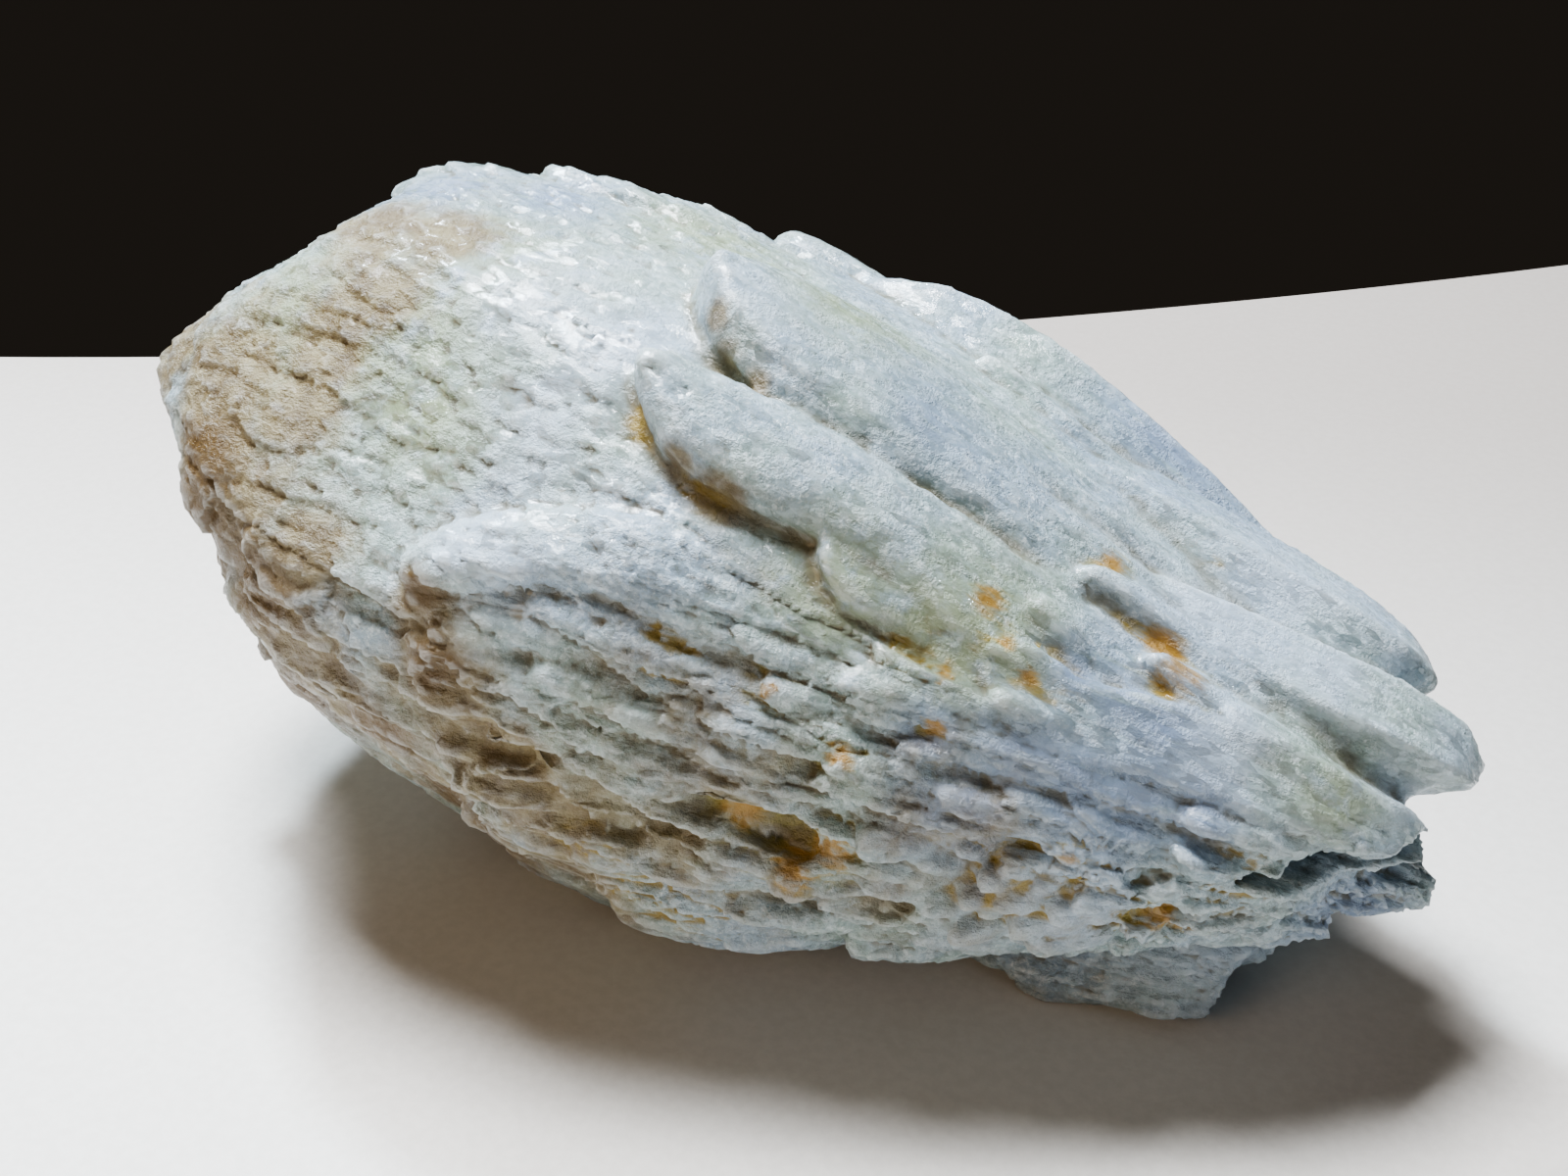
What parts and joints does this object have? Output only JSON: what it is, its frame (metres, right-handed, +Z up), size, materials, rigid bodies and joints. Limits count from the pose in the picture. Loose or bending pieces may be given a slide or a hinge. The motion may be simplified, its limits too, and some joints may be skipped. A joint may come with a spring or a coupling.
{
  "type": "prase quartz",
  "caption": "Pale grey-green lump of fused quartz crystals fanned out like overlapping scales, a natural mineral specimen to display or lie on a surface.",
  "frame": {"origin": "On the flat worn patch that the stone lies on, under the middle of its length.", "axes": "+Z up as it lies; X along the stone with the wide rounded end at -X and the narrow broken end at +X; the side shown in the picture faces -Y."},
  "size_m": [0.1232, 0.0714, 0.0616],
  "materials": {
    "quartz": "satin"
  },
  "bodies": {
    "root": {"prase_quartz": "quartz"}
  },
  "joints": []
}
